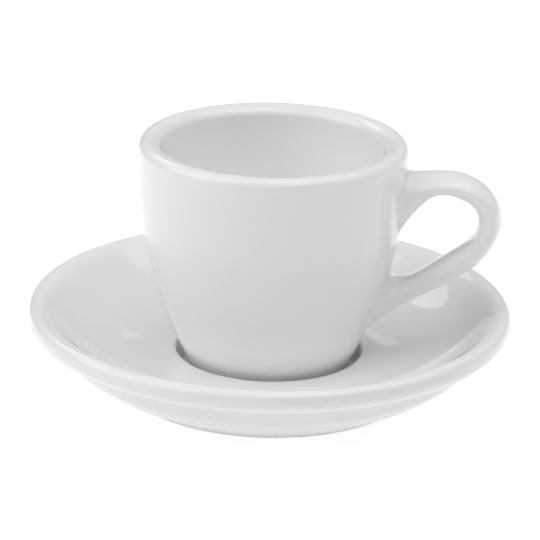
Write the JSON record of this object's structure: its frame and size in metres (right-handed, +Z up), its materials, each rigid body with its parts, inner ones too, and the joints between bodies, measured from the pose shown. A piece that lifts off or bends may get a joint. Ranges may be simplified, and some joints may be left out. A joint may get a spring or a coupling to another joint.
{
  "type": "espresso cup with saucer",
  "caption": "Thick-walled white espresso cup with an ear-shaped handle, standing loose in the recessed well of its round rimmed saucer.",
  "frame": {"origin": "centre of the saucer's foot, on the table", "axes": "+Z up along the axis of the saucer and the cup, +X towards the handle"},
  "size_m": [0.117, 0.117, 0.0615],
  "materials": {
    "saucer_glaze": "clear glossy glaze on white porcelain, bare foot face",
    "cup_glaze": "clear glossy glaze on white porcelain, bare foot face"
  },
  "bodies": {
    "saucer": {"saucer": "saucer_glaze"},
    "cup": {"cup_body": "cup_glaze", "cup_handle": "cup_glaze"}
  },
  "joints": [
    {"name": "cup_lift", "type": "slide", "parent": "saucer", "child": "cup", "axis": [0, 0, 1], "range_m": [0, 0.08]}
  ]
}
